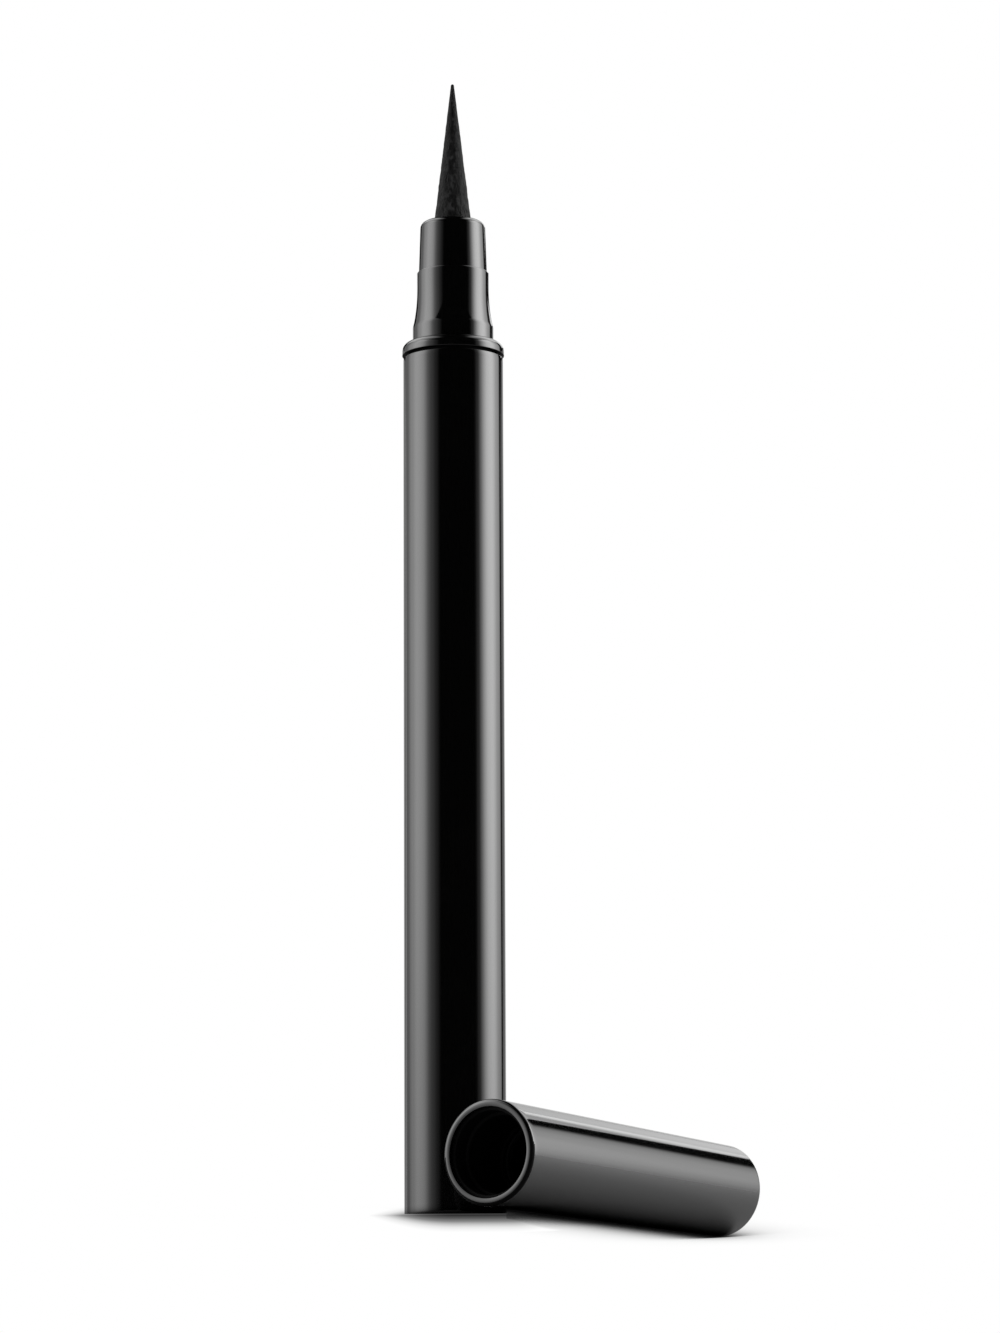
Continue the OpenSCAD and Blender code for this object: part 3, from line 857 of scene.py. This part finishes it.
def makeNozzle(v):
    flare = []
    for step in range(v["flareSteps"] + 1):
        share = step / v["flareSteps"]
        spread = (v["lipRadius"] - v["neckRadius"]) * (1 - share) ** v["flarePower"]
        flare.append((v["lipHigh"] + (v["neckLow"] - v["lipHigh"]) * share, v["neckRadius"] + spread))
    grooveLow = v["grooveMiddle"] - v["grooveHalf"]
    grooveHigh = v["grooveMiddle"] + v["grooveHalf"]
    piece = turnPiece("nozzleBody", [
        (v["skirtLow"], v["skirtBore"]), (v["skirtLow"], v["skirtRadius"]),
        (grooveLow, v["skirtRadius"]), (grooveLow, v["grooveRadius"]),
        (grooveHigh, v["grooveRadius"]), (grooveHigh, v["skirtRadius"]),
        (v["stemLow"], v["skirtRadius"]), (v["stemLow"], v["stemRadius"]),
        (v["lipLow"], v["stemRadius"]), (v["lipLow"], v["lipRadius"] - v["chamfer"]),
        (v["lipLow"] + v["chamfer"], v["lipRadius"]),
        (v["lipLow"] + v["chamfer"] + v["guard"], v["lipRadius"]),
        (v["lipHigh"] - v["guard"], v["lipRadius"]), *flare,
        (v["top"] - 2 * v["guard"], v["neckRadius"]), (v["top"], v["neckRadius"]), (v["top"], v["bore"]),
        (v["skirtBoreTop"], v["bore"]), (v["skirtBoreTop"], v["skirtBore"]),
    ], sides=128)
    roundRings(piece, [(v["neckRadius"], v["top"])], v["topRound"])
    smoothPiece(piece)
    return piece


nozzle = makeNozzle(nozzleValues)
finishPiece(nozzle, "pen", "nozzle", "nozzle")

# tip holder

holderValues = {
    "low": 93.95, "spigotRadius": 3.03, "seat": 99.75, "radius": 3.6, "shoulderLow": 104.55,
    "topRadius": 3.43, "top": 105.25, "rodBore": 1.97, "clipBore": 2.62, "clipTop": 100.07,
    "roundSteps": 12,
}


def makeHolder(v):
    shoulder = []
    size = v["top"] - v["shoulderLow"]
    for step in range(v["roundSteps"] + 1):
        turn = math.radians(90 * step / v["roundSteps"])
        shoulder.append((
            v["shoulderLow"] + size * math.sin(turn), v["topRadius"] - size + size * math.cos(turn),
        ))
    piece = turnPiece("tipHolderSleeve", [
        (v["low"], v["clipBore"]), (v["low"], v["spigotRadius"]), (v["seat"], v["spigotRadius"]),
        (v["seat"], v["radius"]), *shoulder, (v["top"], v["rodBore"]),
        (v["clipTop"], v["rodBore"]), (v["clipTop"], v["clipBore"]),
    ], sides=128)
    smoothPiece(piece)
    return piece


holder = makeHolder(holderValues)
finishPiece(holder, "pen", "tip_holder", "nozzle")

# felt tip

feltValues = {
    "low": 93.95, "radius": 1.95, "coneLow": 105.25, "top": 120.4, "point": 0.17, "rings": 150,
    "pointSteps": 5, "pointTurn": 88, "smoothAngle": 60,
    "grain": 0.0007, "relief": 0.0001,  # the hollows, in metres
    "level": 0.55, "cloudDepth": 2,  # level: where the clouds leave the skin as it is
    "wholeFrom": 106.0, "wholeTo": 112.0,  # between these heights the hollows are at their deepest
}


def fade(height, none, whole):
    return min(max((height - none) / (whole - none), 0), 1)


def roughenFelt(piece, v):
    # the felt's skin isn't quite even: small hollows, none where the holder grips it
    loose = piece.vertex_groups.new(name="loose")
    for vertex in piece.data.vertices:
        height = vertex.co.z / mm
        share = fade(height, v["coneLow"], v["wholeFrom"]) * fade(height, v["top"], v["wholeTo"])
        loose.add([vertex.index], share, "REPLACE")
    clouds = bpy.data.textures.new("feltHollows", "CLOUDS")
    clouds.noise_scale = v["grain"]
    clouds.noise_depth = v["cloudDepth"]
    hollows = piece.modifiers.new("feltHollows", "DISPLACE")
    hollows.texture = clouds
    hollows.texture_coords = "LOCAL"
    hollows.strength = v["relief"]
    hollows.mid_level = v["level"]
    hollows.vertex_group = loose.name
    bpy.ops.object.modifier_apply(modifier=hollows.name)
    piece.vertex_groups.clear()


def makeFelt(v):
    outline = [(v["low"], v["radius"]), (v["coneLow"], v["radius"])]
    shoulder = v["top"] - v["point"]
    for step in range(1, v["rings"] + 1):
        share = step / v["rings"]
        outline.append((
            v["coneLow"] + (shoulder - v["coneLow"]) * share,
            v["radius"] + (v["point"] - v["radius"]) * share,
        ))
    for step in range(1, v["pointSteps"] + 1):
        turn = math.radians(v["pointTurn"] * step / v["pointSteps"])
        outline.append((shoulder + v["point"] * math.sin(turn), v["point"] * math.cos(turn)))
    piece = turnPiece("feltPoint", outline, hollow=False)
    roughenFelt(piece, v)
    smoothPiece(piece, v["smoothAngle"])
    return piece


felt = makeFelt(feltValues)
finishPiece(felt, "pen", "felt_tip", "felt")
print("nozzle and tip: made")

# cap

capValues = {
    "mouthRadius": 5.4, "endRadius": 4.88, "length": 45, "mouthRound": 0.4, "endRound": 0.35,
    "seatBore": 4.64, "seatDepth": 12, "bore": 4.2, "boreDepth": 43.55, "innerEdge": 0.03,
    "pole": 0.05, "guard": 0.5,
    "mattFrom": 5.08, "mattTurn": 12, "mattTaper": 0.35, "mattBelow": 0.2,  # the rim's matt part, painted shade on its lower side
}


def makeCapShell(v):
    def outer(depth):
        return v["mouthRadius"] + (v["endRadius"] - v["mouthRadius"]) * depth / v["length"]

    piece = turnPiece("capShellTube", [
        (v["boreDepth"], v["pole"]), (v["boreDepth"], v["bore"]), (v["seatDepth"], v["bore"]),
        (v["seatDepth"], v["seatBore"]), (v["guard"], v["seatBore"]), (0, v["seatBore"]),
        (0, v["mouthRadius"]), (v["guard"] * 2, outer(v["guard"] * 2)),
        (v["length"] - v["guard"], outer(v["length"] - v["guard"])),
        (v["length"], v["endRadius"]), (v["length"], v["endRadius"] - 2 * v["guard"]),
        (v["length"], v["pole"]),
    ], sides=128, hollow=False)
    roundRings(piece, [(v["mouthRadius"], 0)], v["mouthRound"], segments=8)
    roundRings(piece, [(v["endRadius"], v["length"])], v["endRound"], segments=6)
    roundRings(piece, [(v["seatBore"], 0)], v["innerEdge"], segments=3)
    smoothPiece(piece)
    layDown(piece)
    return piece


capShell = makeCapShell(capValues)
finishPiece(capShell, "cap", "cap_shell", "barrel")
paintedShadeMattRim(capShell, capValues)

# inside the cap

linerValues = {
    "low": 0.5, "high": 12, "outer": 4.62, "land": 4.27, "landEnd": 2.4, "guide": 4.01,
    "leadIn": 0.12, "step": 0.15,
}


def makeLiner(v):
    piece = turnPiece("capLinerSleeve", [
        (v["high"], v["guide"]), (v["landEnd"] + v["step"], v["guide"]), (v["landEnd"], v["land"]),
        (v["low"], v["land"]), (v["low"], v["outer"]), (v["high"], v["outer"]),
    ])
    roundRings(piece, [(v["land"], v["low"])], v["leadIn"])
    smoothPiece(piece)
    layDown(piece)
    return piece


liner = makeLiner(linerValues)
finishPiece(liner, "cap", "cap_liner", "plug")

cupValues = {
    "mouth": 8.02, "radius": 3.96, "bore": 3.55, "floor": 30.02, "grooveLow": 8.62, "grooveHigh": 9.82,
    "grooveRadius": 3.75, "flangeLow": 12.02, "flangeHigh": 13.82, "flangeRadius": 4.15, "back": 31.22,
    "bossRadius": 2.0, "bossEnd": 33.02, "mouthRound": 0.15, "backRound": 0.4, "bossRound": 0.15,
    "pole": 0.05,
}


def makeCup(v):
    piece = turnPiece("innerCapCup", [
        (v["floor"], v["pole"]), (v["floor"], v["bore"]), (v["grooveHigh"], v["bore"]),
        (v["grooveHigh"], v["grooveRadius"]), (v["grooveLow"], v["grooveRadius"]),
        (v["grooveLow"], v["bore"]), (v["mouth"], v["bore"]), (v["mouth"], v["radius"]),
        (v["flangeLow"], v["radius"]), (v["flangeLow"], v["flangeRadius"]),
        (v["flangeHigh"], v["flangeRadius"]), (v["flangeHigh"], v["radius"]),
        (v["back"], v["radius"]), (v["back"], v["bossRadius"]), (v["bossEnd"], v["bossRadius"]),
        (v["bossEnd"], v["pole"]),
    ], hollow=False)
    roundRings(piece, [(v["radius"], v["mouth"]), (v["bore"], v["mouth"])], v["mouthRound"])
    roundRings(piece, [(v["radius"], v["back"])], v["backRound"])
    roundRings(piece, [(v["bossRadius"], v["bossEnd"])], v["bossRound"])
    smoothPiece(piece)
    layDown(piece)
    return piece


cup = makeCup(cupValues)
finishPiece(cup, "cup", "inner_cap", "plug")

sealValues = {"low": 8.64, "high": 9.8, "outer": 3.73, "inner": 3.47, "slope": 0.16, "edge": 0.04}


def makeCupSeal(v):
    piece = turnPiece("innerCapSealRing", [
        (v["low"], v["outer"]), (v["low"], v["inner"] + v["slope"]), (v["low"] + v["slope"], v["inner"]),
        (v["high"] - v["slope"], v["inner"]), (v["high"], v["inner"] + v["slope"]),
        (v["high"], v["outer"]),
    ])
    roundRings(piece, [(v["outer"], v["low"]), (v["outer"], v["high"])], v["edge"], segments=2)
    smoothPiece(piece)
    layDown(piece)
    return piece


cupSeal = makeCupSeal(sealValues)
finishPiece(cupSeal, "cup", "inner_cap_seal", "seal")

springValues = {
    "meanRadius": 2.75, "wire": 0.25, "turns": 8, "low": 31.49, "high": 43.28,
    "stepsPerTurn": 40, "wireSides": 14, "smoothAngle": 50,
    "keep": 0.7396,  # what is left of its length when the cup is pushed right in
}


def makeSpring(v):
    bpy.ops.object.select_all(action="DESELECT")
    bpy.ops.mesh.primitive_circle_add(
        vertices=v["wireSides"], radius=v["wire"] * mm, location=(v["meanRadius"] * mm, 0, v["low"] * mm),
        rotation=(math.radians(90), 0, 0),
    )
    piece = bpy.context.object
    piece.name = piece.data.name = "capSpringCoil"
    bpy.ops.object.transform_apply(location=True, rotation=True)
    coil = piece.modifiers.new("coil", "SCREW")
    coil.angle = math.radians(360)
    coil.screw_offset = (v["high"] - v["low"]) / v["turns"] * mm
    coil.iterations = v["turns"]
    coil.steps = coil.render_steps = v["stepsPerTurn"]
    bpy.ops.object.modifier_apply(modifier=coil.name)
    bpy.ops.object.mode_set(mode="EDIT")
    bpy.ops.mesh.select_mode(type="EDGE")
    bpy.ops.mesh.select_all(action="SELECT")
    bpy.ops.mesh.remove_doubles(threshold=meshValues["merge"] * mm)
    bpy.ops.mesh.select_all(action="DESELECT")
    bpy.ops.mesh.select_non_manifold()
    bpy.ops.mesh.edge_face_add()
    bpy.ops.mesh.select_all(action="SELECT")
    bpy.ops.mesh.normals_make_consistent(inside=False)
    bpy.ops.object.mode_set(mode="OBJECT")
    smoothPiece(piece, v["smoothAngle"])
    layDown(piece)
    return piece


spring = makeSpring(springValues)
finishPiece(spring, "cap", "cap_spring", "spring_steel")
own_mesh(spring)
print("cap: made")

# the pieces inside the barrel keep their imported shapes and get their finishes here

for subpart in frame["record"]["subparts"]:
    node = frame["nodes"][subpart["node"]]
    if not node.hide_render:
        node.data.materials.clear()
        node.data.materials.append(slotMaterials[subpart["material_slot"]])
print("inner pieces: finished")
